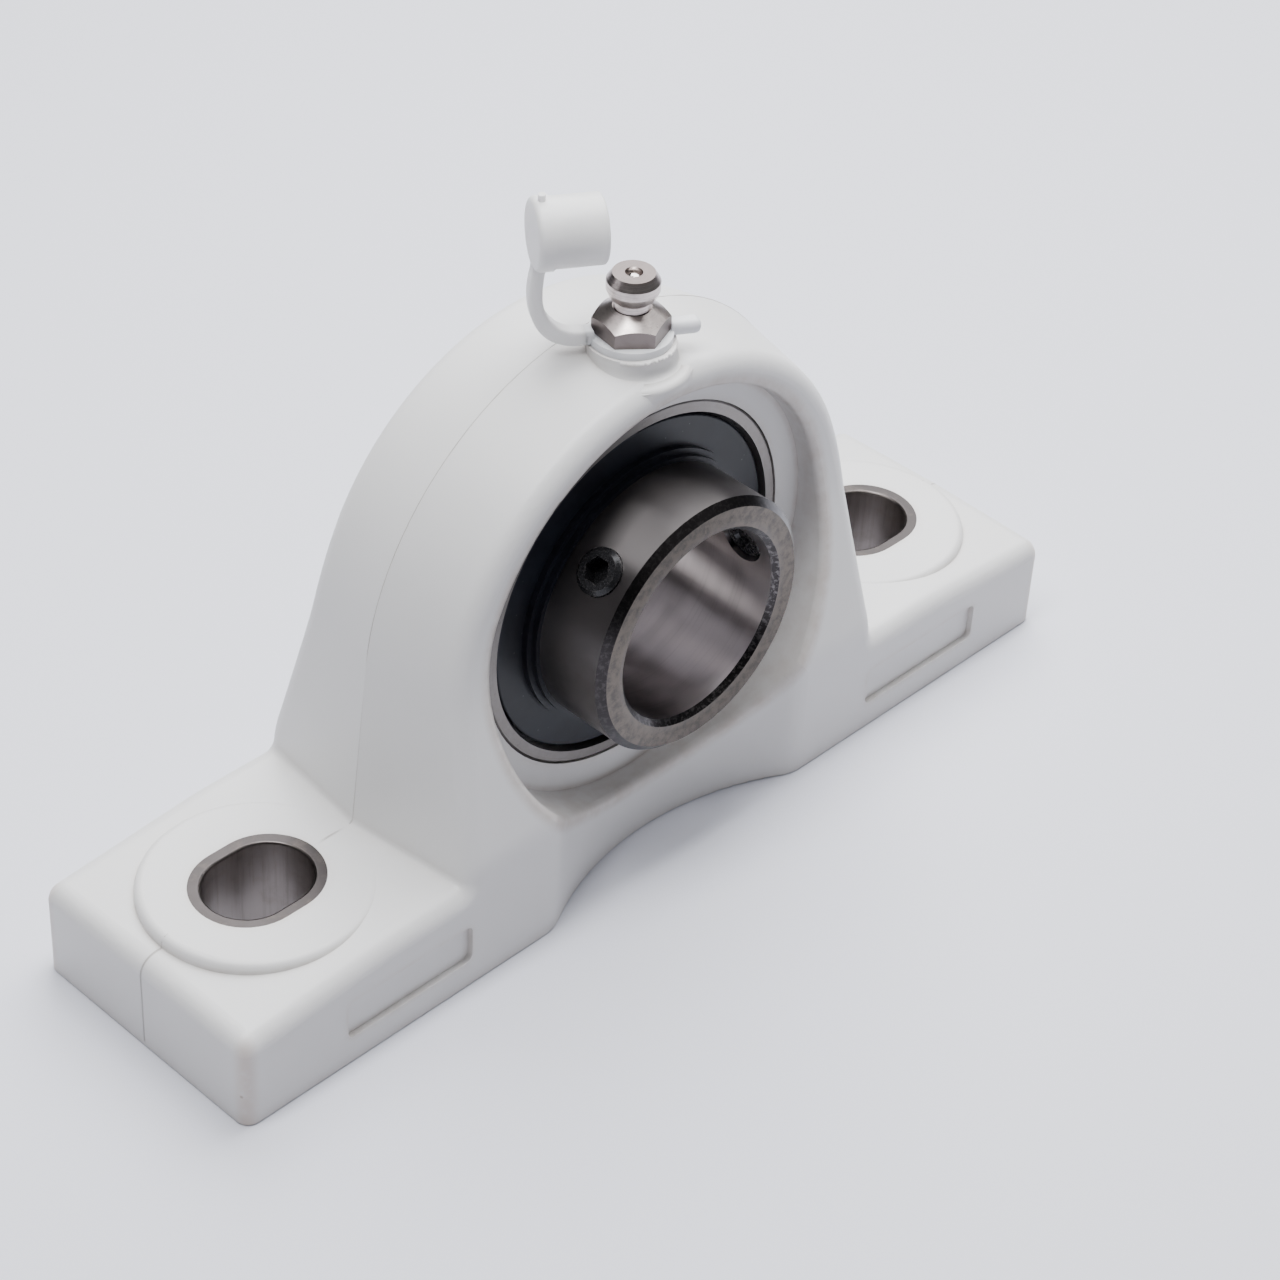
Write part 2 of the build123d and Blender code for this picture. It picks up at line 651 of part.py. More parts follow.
with BuildPart() as spring:
    with BuildLine():
        coil = Helix(
            pitch=SPRING_LEN / SPRING_TURNS,
            height=SPRING_LEN,
            radius=SPRING_R,
            center=(0, NIPPLE_Y, CHAMBER_END + SPRING_GAP + SPRING_WIRE),
        )
    with BuildSketch(Plane(origin=coil @ 0, z_dir=coil % 0)):
        Circle(SPRING_WIRE)
    sweep()
export(spring.part, "nipple_spring")

# ---- tethered cap: ring and tab, strap, cap ----
with BuildPart() as cap_ring:
    with BuildSketch(TAB_PLANE):
        with Locations((0, SHANK_FIT + TAB_T / 2)):
            RectangleRounded(TAB_W, TAB_T, TAB_EDGE)
    extrude(amount=TAB_END)
    fillet(cap_ring.faces().sort_by(Axis((0, 0, 0), TETHER_DIR))[-1].edges(), TAB_EDGE)
    with BuildSketch(TAB_PLANE):
        with Locations((0, SHANK_FIT + TAB_T / 2)):
            RectangleRounded(STRAP_W, TAB_T, STRAP_EDGE)
    extrude(amount=STRAP_OUTER[0][0] + STRAP_GAP)
    with BuildSketch(Plane.XY.offset(BOSS_TOP)):
        with Locations((0, NIPPLE_Y)):
            Circle(HEX_CORNER + HEX_CLEAR)
    extrude(amount=CLEAR, mode=Mode.SUBTRACT)
    with BuildSketch(Plane.XY.offset(BOSS_TOP + SHANK_FIT)):
        with Locations((0, NIPPLE_Y)):
            Circle(RING_OUT_R)
            Circle(RING_IN_R, mode=Mode.SUBTRACT)
    extrude(amount=RING_T - SHANK_FIT)
export(cap_ring.part, "cap_ring")

with BuildPart() as strap:
    with BuildSketch(TETHER_PLANE):
        with BuildLine():
            Spline(*STRAP_OUTER)
            Line(STRAP_OUTER[-1], STRAP_INNER[0])
            Spline(*STRAP_INNER)
            Line(STRAP_INNER[-1], STRAP_OUTER[0])
        make_face()
    extrude(amount=STRAP_W / 2, both=True)
    fillet(strap.edges().filter_by(GeomType.BSPLINE), STRAP_EDGE)
export(strap.part, "cap_strap")

with BuildPart() as cap:
    with BuildSketch(TETHER_PLANE) as section:
        make_face(
            turned(
                [
                    (CAP_BACK, CAP_RISE),
                    (CAP_BACK, CAP_RISE + CAP_DISC_R),
                    (CAP_BACK + CAP_DISC_T, CAP_RISE + CAP_DISC_R),
                    (CAP_BACK + CAP_DISC_T, CAP_RISE + CAP_R),
                    (CAP_BACK + CAP_LEN, CAP_RISE + CAP_R),
                    (CAP_BACK + CAP_LEN, CAP_RISE + CAP_IN_R),
                    (CAP_BACK + CAP_DISC_T + CAP_FLOOR, CAP_RISE + CAP_IN_R),
                    (CAP_BACK + CAP_DISC_T + CAP_FLOOR, CAP_RISE),
                ]
            )
        )
        fillet(section.vertices().group_by(Axis.X)[0].sort_by(Axis.Y)[-1], CAP_DISC_EDGE)
        fillet(section.vertices().group_by(Axis.X)[-1], CAP_LIP)
    revolve(axis=CAP_AXIS)
    # stub of the moulding gate on top of the disc
    with BuildSketch(Plane.XY.offset(CAP_Z + CAP_DISC_R + GATE_LEN)):
        with Locations(Vector(0, NIPPLE_Y) + Vector(*TETHER_DIR) * (CAP_BACK + CAP_DISC_T / 2)):
            Circle(GATE_R)
    extrude(amount=-2 * GATE_LEN)
export(cap.part, "nipple_cap")
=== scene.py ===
import math
import random

import bmesh
import bpy
from mathutils import Matrix, Vector


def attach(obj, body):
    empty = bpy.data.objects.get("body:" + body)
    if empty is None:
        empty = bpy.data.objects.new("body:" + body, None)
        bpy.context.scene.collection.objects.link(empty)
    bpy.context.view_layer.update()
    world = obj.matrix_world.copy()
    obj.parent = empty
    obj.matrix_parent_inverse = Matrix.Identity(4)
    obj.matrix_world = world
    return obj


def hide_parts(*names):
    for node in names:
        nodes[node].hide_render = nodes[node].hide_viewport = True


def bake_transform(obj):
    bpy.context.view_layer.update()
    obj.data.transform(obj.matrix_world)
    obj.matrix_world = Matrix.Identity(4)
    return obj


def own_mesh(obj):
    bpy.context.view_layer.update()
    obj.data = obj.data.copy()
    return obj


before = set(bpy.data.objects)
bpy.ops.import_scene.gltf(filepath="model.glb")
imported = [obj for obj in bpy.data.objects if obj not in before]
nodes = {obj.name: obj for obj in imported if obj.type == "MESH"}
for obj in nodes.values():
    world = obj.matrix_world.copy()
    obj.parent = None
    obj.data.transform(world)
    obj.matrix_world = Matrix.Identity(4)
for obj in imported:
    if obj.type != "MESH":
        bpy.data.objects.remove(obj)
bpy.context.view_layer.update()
MM = 0.001

# ---- camera ----
CAMERA_TARGET = Vector((10.799, 0.0, 17.029)) * MM
CAMERA_DISTANCE = 427.2 * MM
CAMERA_AZIMUTH = -47.626
CAMERA_ELEVATION = 38.684
CAMERA_ROLL = 3.538
SENSOR = 36.0
LENS = 94.80

# ---- stage ----
FLOOR_SIZE = 6.0              # metres
FLOOR_DROP = 0.00002          # metres, keeps it clear of the underside
FLOOR_PALE = 115.0            # millimetres from the middle where the painted falloff of light starts
FLOOR_DIM = 600.0             # and where it is darkest
FLOOR_COLOR = (0.86, 0.872, 0.955)
FLOOR_CLOUDS = (0.83, 0.842, 0.925)
FLOOR_GIVEN = (0.51, 0.505, 0.55)  # what it sends back onto the part
FLOOR_FAR = (0.24, 0.24, 0.255)
FLOOR_FAR_SEEN = 0.3          # share of that painted falloff that the picture shows

# ---- lamps: place, target, size, power ----
LAMPS = {
    "key": ((0.30, 0.18, 0.46), (0.12, 0.08, 0.0), (0.56, 0.50), 5.5),
    "top": ((-0.09, 0.0, 0.50), (-0.02, -0.01, 0.03), (0.12, 0.42), 2.7),
}
LAMP_COLOR = (0.985, 0.99, 1.0)
WORLD_COLOR = (0.95, 0.96, 1.0)
WORLD_AIM = (0.30, -0.22, 0.93)  # where the surroundings are brightest
WORLD_FROM = -0.1             # cosine of the angle from there at which they are lowest
WORLD_LOW = 0.03
WORLD_HIGH = 0.50
WORLD_GLOSS = 0.30            # share of the surroundings that shiny surfaces show

# ---- sizes of the frame, in millimetres ----
AXIS_H = 36.5
HALF_L = 70.0
HALF_W = 18.2
BOLT_X = 52.5
RECESS_R = 28.0
RING_HALF = 12.3
LEDGE_Y = 8.6
SEAT_R = 26.0
INNER_R = 17.0
NIPPLE_Y = -5.5
BOSS_TOP = 70.5
PAD_END = 66.6                # end of the round pad along the base
DOME_FOOT = 38.6              # where the dome meets the pad
SLEEVE_END = 43.9
SLOT_STRAIGHT = 1.5           # half of a bolt slot's straight part
BORE_END = 13.4               # between these radii a ring's bore gives way to its outside
OUTSIDE_START = 14.6

# ---- what counts as an edge or a crease ----
EDGE_TURN = (0.80, 0.995)
CREASE_SHUT = (0.35, 0.85)
SHADER_SAMPLES = 4


def add_camera():
    """Camera at its place, direction, roll and focal length."""
    az = math.radians(CAMERA_AZIMUTH)
    el = math.radians(CAMERA_ELEVATION)
    roll = math.radians(CAMERA_ROLL)
    back = Vector((
        math.sin(az) * math.cos(el), -math.cos(az) * math.cos(el), math.sin(el)
    ))
    level = (-back).cross(Vector((0, 0, 1))).normalized()
    upright = level.cross(-back)
    right = math.cos(roll) * level + math.sin(roll) * upright
    up = math.cos(roll) * upright - math.sin(roll) * level
    data = bpy.data.cameras.new("camera")
    data.lens = LENS
    data.sensor_width = SENSOR
    data.clip_start = 0.01
    camera = bpy.data.objects.new("camera", data)
    turn = Matrix((right, up, back)).transposed().to_4x4()
    camera.matrix_world = Matrix.Translation(CAMERA_TARGET + back * CAMERA_DISTANCE) @ turn
    bpy.context.scene.collection.objects.link(camera)
    bpy.context.scene.camera = camera


class Finish:
    """Material whose colour, roughness and relief follow the piece's own millimetres."""

    def __init__(self, name, color, roughness, metallic=0.0, **shader_values):
        self.material = bpy.data.materials.new(name)
        self.material.use_nodes = True
        self.nodes = self.material.node_tree.nodes
        self.links = self.material.node_tree.links
        self.shader = self.nodes["Principled BSDF"]
        self.shader.inputs["Metallic"].default_value = metallic
        for key, value in shader_values.items():
            self.shader.inputs[key.replace("_", " ")].default_value = value
        self.color = (*color, 1)
        self.roughness = roughness
        self.relief = 0.0
        metres = self.nodes.new("ShaderNodeTexCoord").outputs["Object"]
        self.spot = self.stretch(metres, 1 / MM, 1 / MM, 1 / MM)
        parts = self.nodes.new("ShaderNodeSeparateXYZ")
        self.links.new(self.spot, parts.inputs[0])
        self.x, self.y, self.z = parts.outputs

    def put(self, value, socket):
        if isinstance(value, bpy.types.NodeSocket):
            self.links.new(value, socket)
        else:
            socket.default_value = value

    def math(self, operation, first, second=0.0):
        node = self.nodes.new("ShaderNodeMath")
        node.operation = operation
        self.put(first, node.inputs[0])
        self.put(second, node.inputs[1])
        return node.outputs[0]

    def add(self, first, second):
        return self.math("ADD", first, second)

    def times(self, first, second):
        return self.math("MULTIPLY", first, second)

    def rest(self, share):
        """What a share leaves of one."""
        return self.math("SUBTRACT", 1.0, share)

    def stretch(self, vector, x, y, z):
        node = self.nodes.new("ShaderNodeVectorMath")
        node.operation = "MULTIPLY"
        self.links.new(vector, node.inputs[0])
        node.inputs[1].default_value = (x, y, z)
        return node.outputs[0]

    def vector(self, x, y, z):
        node = self.nodes.new("ShaderNodeCombineXYZ")
        for value, socket in zip((x, y, z), node.inputs):
            self.put(value, socket)
        return node.outputs[0]

    def rise(self, value, low, high):
        """0 at low, 1 at high, smooth between."""
        node = self.nodes.new("ShaderNodeMapRange")
        node.interpolation_type = "SMOOTHSTEP"
        self.put(value, node.inputs["Value"])
        node.inputs["From Min"].default_value = low
        node.inputs["From Max"].default_value = high
        return node.outputs[0]

    def near(self, value, centre, reach):
        """1 at centre, 0 from reach on."""
        off = self.math("ABSOLUTE", self.add(value, -centre))
        return self.rest(self.rise(off, 0.0, reach))

    def noise(self, vector, scale, detail=2.0, roughness=0.5):
        node = self.nodes.new("ShaderNodeTexNoise")
        self.links.new(vector, node.inputs["Vector"])
        node.inputs["Scale"].default_value = scale
        node.inputs["Detail"].default_value = detail
        node.inputs["Roughness"].default_value = roughness
        return node.outputs[0]

    def cells(self, vector, scale):
        node = self.nodes.new("ShaderNodeTexVoronoi")
        self.links.new(vector, node.inputs["Vector"])
        node.inputs["Scale"].default_value = scale
        return node.outputs["Distance"]

    def around(self, x, z):
        """Radius and angle about an axis, from the two distances across it."""
        radius = self.math("SQRT", self.add(self.times(x, x), self.times(z, z)))
        return radius, self.math("ARCTAN2", z, x)

    def unseen(self):
        """1 where light bounces softly, 0 where the picture or a reflection shows it."""
        path = self.nodes.new("ShaderNodeLightPath").outputs
        seen = self.math("MAXIMUM", path["Is Camera Ray"], path["Is Glossy Ray"])
        return self.rest(seen)

    def about_shaft(self):
        return self.around(self.x, self.add(self.z, -AXIS_H))

    def facing(self, axis):
        """How far the surface faces along one axis, from -1 to 1."""
        parts = self.nodes.new("ShaderNodeSeparateXYZ")
        normal = self.nodes.new("ShaderNodeTexCoord").outputs["Normal"]
        self.links.new(normal, parts.inputs[0])
        return parts.outputs[axis]

    def edges(self, radius):
        """1 on edges and creases narrower than a radius in millimetres, 0 on open faces."""
        bevel = self.nodes.new("ShaderNodeBevel")
        bevel.samples = SHADER_SAMPLES
        bevel.inputs["Radius"].default_value = radius * MM
        node = self.nodes.new("ShaderNodeVectorMath")
        node.operation = "DOT_PRODUCT"
        self.links.new(bevel.outputs[0], node.inputs[0])
        normal = self.nodes.new("ShaderNodeNewGeometry").outputs["Normal"]
        self.links.new(normal, node.inputs[1])
        return self.rest(self.rise(node.outputs["Value"], *EDGE_TURN))

    def creases(self, reach):
        """1 deep in a crease, 0 in the open."""
        node = self.nodes.new("ShaderNodeAmbientOcclusion")
        node.samples = SHADER_SAMPLES
        node.inputs["Distance"].default_value = reach * MM
        return self.rest(self.rise(node.outputs["AO"], *CREASE_SHUT))

    def tint(self, share, color):
        """Lay another colour over what is there, by share."""
        node = self.nodes.new("ShaderNodeMix")
        node.data_type = "RGBA"
        self.put(share, node.inputs[0])
        self.put(self.color, node.inputs[6])
        self.put((*color, 1), node.inputs[7])
        self.color = node.outputs[2]

    def rough(self, share, amount):
        """Add to the roughness, by share."""
        self.roughness = self.add(self.roughness, self.times(share, amount))

    def raised(self, share, height):
        """Add relief of a height in millimetres, by share."""
        self.relief = self.add(self.relief, self.times(share, height))

    def made(self):
        self.put(self.color, self.shader.inputs["Base Color"])
        self.put(self.roughness, self.shader.inputs["Roughness"])
        if isinstance(self.relief, bpy.types.NodeSocket):
            bump = self.nodes.new("ShaderNodeBump")
            bump.inputs["Distance"].default_value = MM
            self.links.new(self.relief, bump.inputs["Height"])
            self.links.new(bump.outputs[0], self.shader.inputs["Normal"])
        return self.material


def moulded_plastic():
    """White satin plastic: fine grain, warm soiling on edges, soiling and painted shade in
    creases, painted shade in the recess corner, a painted shadow along the parting line,
    brown specks.
    """
    f = Finish("housing_plastic", (0.885, 0.882, 0.88), 0.38)
    fine = f.noise(f.spot, 1.6, 4.0, 0.6)
    cloudy = f.noise(f.spot, 0.07, 2.0)
    blotches = f.noise(f.spot, 0.35, 3.0, 0.6)
    f.tint(f.times(f.rise(cloudy, 0.4, 0.7), 0.10), (0.80, 0.79, 0.78))
    worn = f.times(f.edges(1.3), f.rise(blotches, 0.35, 0.65))
    f.tint(f.times(worn, 0.42), (0.66, 0.59, 0.53))
    patches = f.add(0.45, f.times(f.rise(blotches, 0.25, 0.8), 0.55))
    # Creases darkened by an occlusion mask: soiling and painted shade together.
    crease_dirt_and_shade = f.times(f.creases(4.0), patches)
    f.tint(f.times(crease_dirt_and_shade, 0.50), (0.52, 0.46, 0.41))
    radius = f.about_shaft()[0]
    out = f.math("ABSOLUTE", f.y)
    front = f.rise(out, RING_HALF - 3.5, RING_HALF - 1.5)
    rim = f.times(f.near(radius, RECESS_R + 0.6, 1.6), front)
    f.tint(f.times(f.times(rim, patches), 0.75), (0.56, 0.48, 0.42))
    # Painted shade, with some soiling, in the concave corner where the recess wall meets the
    # ledge.
    foot = f.times(f.near(radius, RECESS_R, 0.9), f.near(out, LEDGE_Y, 0.9))
    f.tint(f.times(foot, 0.75), (0.34, 0.27, 0.23))
    specks = f.rest(f.rise(f.cells(f.spot, 0.085), 0.012, 0.03))
    f.tint(f.times(specks, 0.6), (0.22, 0.13, 0.07))
    far = f.math("ABSOLUTE", f.x)
    corner = f.times(f.near(far, HALF_L - 0.3, 2.2), f.near(out, HALF_W - 0.3, 2.2))
    f.tint(f.times(f.times(corner, f.rise(blotches, 0.1, 0.5)), 0.5), (0.66, 0.52, 0.44))
    f.tint(f.times(f.edges(2.6), 0.22), (0.72, 0.65, 0.59))
    short = f.near(far, (DOME_FOOT + SLEEVE_END) / 2, 2.6)
    along = f.add(f.rise(far, PAD_END, PAD_END + 0.4), short)
    line = f.times(f.times(f.near(f.y, 0.0, 0.22), along), f.rise(f.z, 0.5, 1.0))
    # Painted shadow along the parting line, over a small groove in the relief.
    f.tint(f.times(line, 0.7), (0.42, 0.38, 0.36))
    f.raised(line, -0.12)
    f.rough(f.add(fine, -0.5), 0.10)
    f.rough(crease_dirt_and_shade, 0.06)
    f.raised(fine, 0.006)
    f.raised(f.noise(f.spot, 0.25, 2.0), 0.03)
    return f.made()


def parting_plastic():
    """The plastic of the parting line, painted darker than the housing as shade along the
    ridge, and a little soiled along its length.
    """
    # Base colour darker than the housing's: painted shade on the ridge.
    f = Finish("parting_plastic", (0.72, 0.70, 0.69), 0.5)
    soiled = f.rise(f.noise(f.spot, 0.12, 3.0), 0.35, 0.65)
    f.tint(f.times(soiled, 0.75), (0.50, 0.46, 0.43))
    f.raised(f.noise(f.spot, 3.0, 2.0), 0.02)
    return f.made()


def stainless_sleeve():
    """Rolled stainless: turning marks on the rim, upward faces painted dark as shade, upright
    streaks and stains inside.
    """
    f = Finish("sleeve_steel", (0.29, 0.262, 0.252), 0.30, 1.0)
    side = f.add(f.math("ABSOLUTE", f.x), -BOLT_X)
    reach = f.math("SUBTRACT", f.math("ABSOLUTE", side), SLOT_STRAIGHT)
    past = f.math("MAXIMUM", reach, 0.0)
    radius = f.around(past, f.y)[0]
    top = f.rise(f.facing(2), 0.7, 0.95)
    rings = f.noise(f.vector(f.times(radius, 9.0), f.times(f.x, 0.12), 0.0), 1.0, 3.0, 0.6)
    wall = f.times(f.math("ARCTAN2", f.y, side), 6.0)
    streaks = f.noise(f.vector(f.times(wall, 1.6), f.times(f.z, 0.06), 0.0), 1.0, 4.0, 0.7)
    stains = f.noise(f.spot, 0.28, 4.0, 0.65)
    # Upward faces painted much darker than the sides: painted shade.
    f.tint(f.times(top, 0.94), (0.058, 0.052, 0.052))
    f.tint(f.times(f.rise(stains, 0.50, 0.72), 0.35), (0.22, 0.19, 0.17))
    inside = f.rest(top)
    f.tint(f.times(f.times(inside, f.rise(streaks, 0.45, 0.7)), 0.45), (0.18, 0.16, 0.15))
    f.rough(f.rise(stains, 0.4, 0.7), 0.12)
    f.raised(f.times(top, rings), 0.004)
    f.raised(f.times(inside, streaks), 0.002)
    return f.made()


def ground_ring(name, color, soiled):
    """Ground bearing steel: fine marks round the shaft, mottled face, dark worn chamfers, and
    the outside painted darker than the bore as shade; soiled scales the soiling and that
    painted shade alike.
    """
    f = Finish(name, color, 0.29, 1.0, Anisotropic=0.85, Anisotropic_Rotation=0.25)
    turned = f.nodes.new("ShaderNodeTangent")
    turned.direction_type = "RADIAL"
    turned.axis = "Y"
    f.links.new(turned.outputs[0], f.shader.inputs["Tangent"])
    radius, angle = f.about_shaft()
    out = f.math("ABSOLUTE", f.facing(1))
    face = f.rise(out, 0.93, 0.99)
    chamfer = f.near(out, 0.70, 0.22)
    marks = f.noise(
        f.vector(f.times(angle, 1.3), f.times(radius, 3.0), f.times(f.y, 3.0)), 1.0, 2.0, 0.6
    )
    outside = f.rise(radius, BORE_END, OUTSIDE_START)
    mottle = f.noise(f.spot, 0.9, 5.0, 0.7)
    broad = f.noise(
        f.vector(f.times(angle, 1.5), f.times(radius, 0.3), f.times(f.y, 0.25)), 1.0, 1.0
    )
    nicks = f.noise(f.spot, 1.7, 3.0, 0.7)
    # The outside painted darker than the bore: painted shade, scaled by soiled.
    f.tint(f.times(outside, 0.88 * soiled), (0.105, 0.098, 0.098))
    f.tint(f.times(f.rise(broad, 0.42, 0.68), 0.28 * soiled), (0.14, 0.125, 0.12))
    f.tint(f.times(f.rise(marks, 0.5, 0.75), 0.12), (0.14, 0.13, 0.125))
    grey = f.times(face, f.rise(mottle, 0.30, 0.62))
    f.tint(f.times(face, 0.9 * soiled), (0.056, 0.049, 0.044))
    f.tint(f.times(grey, 0.7 * soiled), (0.140, 0.119, 0.099))
    pits = f.times(face, f.rest(f.rise(nicks, 0.30, 0.40)))
    f.tint(f.times(pits, 0.6 * soiled), (0.06, 0.05, 0.045))
    worn = f.add(0.62, f.times(f.rise(nicks, 0.36, 0.54), 0.14))
    f.tint(f.times(f.times(chamfer, worn), 1.3 * soiled), (0.03, 0.027, 0.028))
    f.rough(face, 0.14)
    f.raised(f.times(face, mottle), 0.010)
    f.raised(f.times(chamfer, nicks), 0.008)
    return f.made()


def black_slinger():
    """Satin blue-black coat with faint rings and dust."""
    f = Finish("slinger_steel", (0.011, 0.012, 0.017), 0.33, Specular_IOR_Level=0.22)
    radius, angle = f.about_shaft()
    rings = f.noise(f.vector(f.times(angle, 0.9), f.times(radius, 5.0), 0.0), 1.0, 2.0, 0.6)
    cloudy = f.noise(f.spot, 0.12, 3.0, 0.6)
    dust = f.rest(f.rise(f.cells(f.spot, 0.7), 0.03, 0.10))
    f.tint(f.times(f.rise(cloudy, 0.40, 0.65), 0.5), (0.020, 0.024, 0.034))
    f.tint(f.times(dust, 0.35), (0.16, 0.16, 0.17))
    f.rough(cloudy, 0.10)
    f.raised(rings, 0.001)
    f.raised(f.noise(f.spot, 3.0, 3.0), 0.001)
    return f.made()


def seal_rubber():
    """Moulded black rubber with a fine grain."""
    f = Finish("seal_rubber", (0.02, 0.02, 0.021), 0.55)
    grain = f.noise(f.spot, 3.5, 4.0, 0.6)
    f.tint(f.times(f.rise(grain, 0.45, 0.7), 0.4), (0.045, 0.045, 0.047))
    f.rough(grain, 0.12)
    f.raised(grain, 0.02)
    return f.made()


def black_screw():
    """Black oxide with a film of oil, bright where the edges rub."""
    f = Finish("screw_steel", (0.02, 0.02, 0.022), 0.22, 0.55)
    grain = f.noise(f.spot, 2.8, 4.0, 0.65)
    worn = f.times(f.edges(0.25), f.rise(grain, 0.45, 0.62))
    f.tint(f.times(worn, 0.55), (0.24, 0.22, 0.21))
    f.rough(f.rise(grain, 0.35, 0.7), 0.16)
    f.raised(grain, 0.004)
    return f.made()


def nickel():
    """Bright nickel over turned steel: rings on head and neck, scratches on duller flats,
    flats and top face painted darker as shade.
    """
    f = Finish("nipple_steel", (0.60, 0.535, 0.51), 0.24, 1.0)
    radius, angle = f.around(f.x, f.add(f.y, -NIPPLE_Y))
    rings = f.noise(
        f.vector(f.times(angle, 0.5), f.times(radius, 7.0), f.times(f.z, 7.0)), 1.0, 2.0, 0.6
    )
    scratches = f.noise(f.stretch(f.spot, 1.2, 1.2, 7.0), 1.0, 4.0, 0.7)
    stains = f.noise(f.spot, 0.7, 4.0, 0.65)
    high = f.rise(f.z, BOSS_TOP + 3.6, BOSS_TOP + 4.4)
    low = f.rest(high)
    upright = f.rest(f.rise(f.math("ABSOLUTE", f.facing(2)), 0.15, 0.35))
    flats = f.times(low, upright)
    f.tint(f.times(f.rise(stains, 0.48, 0.68), 0.35), (0.30, 0.25, 0.235))
    # Upright flats painted much darker than the head: painted shade.
    f.tint(f.times(flats, 0.85), (0.125, 0.103, 0.098))
    f.tint(f.times(f.times(high, f.rise(rings, 0.4, 0.7)), 0.45), (0.20, 0.175, 0.17))
    f.tint(f.times(f.times(low, f.rise(scratches, 0.5, 0.72)), 0.35), (0.20, 0.18, 0.17))
    crown = f.times(high, f.rise(f.facing(2), 0.9, 0.98))
    # Top face of the head painted darker: painted shade.
    f.tint(f.times(crown, 0.9), (0.13, 0.108, 0.104))
    f.rough(stains, 0.10)
    f.rough(flats, 0.12)
    f.raised(f.times(high, rings), 0.006)
    f.raised(f.times(low, scratches), 0.005)
    return f.made()


def chromed_steel(name, color, roughness):
    """Polished steel with the faintest lapping marks."""
    f = Finish(name, color, roughness, 1.0)
    lapped = f.noise(f.spot, 1.4, 3.0, 0.6)
    f.tint(f.times(f.rise(lapped, 0.45, 0.7), 0.15), (0.45, 0.44, 0.43))
    f.rough(lapped, 0.05)
    f.raised(lapped, 0.001)
    return f.made()


def pressed_cage():
    """Pressed sheet steel, dull, with drawn streaks."""
    f = Finish("cage_steel", (0.52, 0.50, 0.47), 0.38, 1.0)
    radius, angle = f.about_shaft()
    drawn = f.noise(
        f.vector(f.times(angle, 3.0), f.times(radius, 4.0), f.times(f.y, 4.0)), 1.0, 3.0
    )
    f.tint(f.times(f.rise(drawn, 0.45, 0.7), 0.3), (0.30, 0.28, 0.26))
    f.rough(drawn, 0.12)
    f.raised(drawn, 0.004)
    return f.made()


def milky_cap(name, color, depth):
    """Milky white plastic, soft and slightly wavy."""
    f = Finish(name, color, 0.34, Subsurface_Weight=depth, Subsurface_Scale=1.6 * MM)
    f.shader.inputs["Subsurface Radius"].default_value = (1.0, 0.95, 1.0)
    wavy = f.noise(f.spot, 0.45, 2.0)
    fine = f.noise(f.spot, 2.5, 3.0, 0.6)
    f.tint(f.times(f.rise(wavy, 0.4, 0.7), 0.10), (0.85, 0.85, 0.88))
    f.rough(fine, 0.10)
    f.raised(wavy, 0.06)
    f.raised(fine, 0.006)
    return f.made()


def dress(names, material):
    """Give CAD nodes their finish."""
    for name in names:
        mesh = nodes[name].data
        mesh.materials.clear()
        mesh.materials.append(material)
        mesh.shade_smooth()


def add_floor():
    """Wide pale floor under the object, painted darker further out as falloff of light, which
    sends back a darker tone than it shows.
    """
    mesh = bpy.data.meshes.new("floor")
    h = FLOOR_SIZE / 2
    mesh.from_pydata([(-h, -h, 0), (h, -h, 0), (h, h, 0), (-h, h, 0)], [], [(0, 1, 2, 3)])
    floor = bpy.data.objects.new("floor", mesh)
    floor.location.z = -FLOOR_DROP
    bpy.context.scene.collection.objects.link(floor)
    f = Finish("floor", FLOOR_COLOR, 0.75)
    f.tint(f.times(f.noise(f.spot, 0.004, 2.0), 0.10), FLOOR_CLOUDS)
    radius = f.around(f.x, f.y)[0]
    # Painted falloff of light: the floor shows darker further from the middle.
    far = f.rise(radius, FLOOR_PALE, FLOOR_DIM)
    f.tint(f.times(far, FLOOR_FAR_SEEN), FLOOR_FAR)
    f.tint(f.unseen(), FLOOR_GIVEN)
    f.tint(f.times(far, f.unseen()), FLOOR_FAR)
    f.raised(f.noise(f.spot, 0.8, 3.0), 0.01)
    mesh.materials.append(f.made())


def add_lamps():
    """Soft rectangular lamps, each facing its target."""
    for name, (place, target, size, power) in LAMPS.items():
        data = bpy.data.lights.new(name, "AREA")
        data.shape = "RECTANGLE"
        data.size, data.size_y = size
        data.energy = power
        data.color = LAMP_COLOR
        lamp = bpy.data.objects.new(name, data)
        lamp.location = place
        aim = Vector(target) - Vector(place)
        lamp.rotation_euler = aim.to_track_quat("-Z", "Y").to_euler()
        bpy.context.scene.collection.objects.link(lamp)


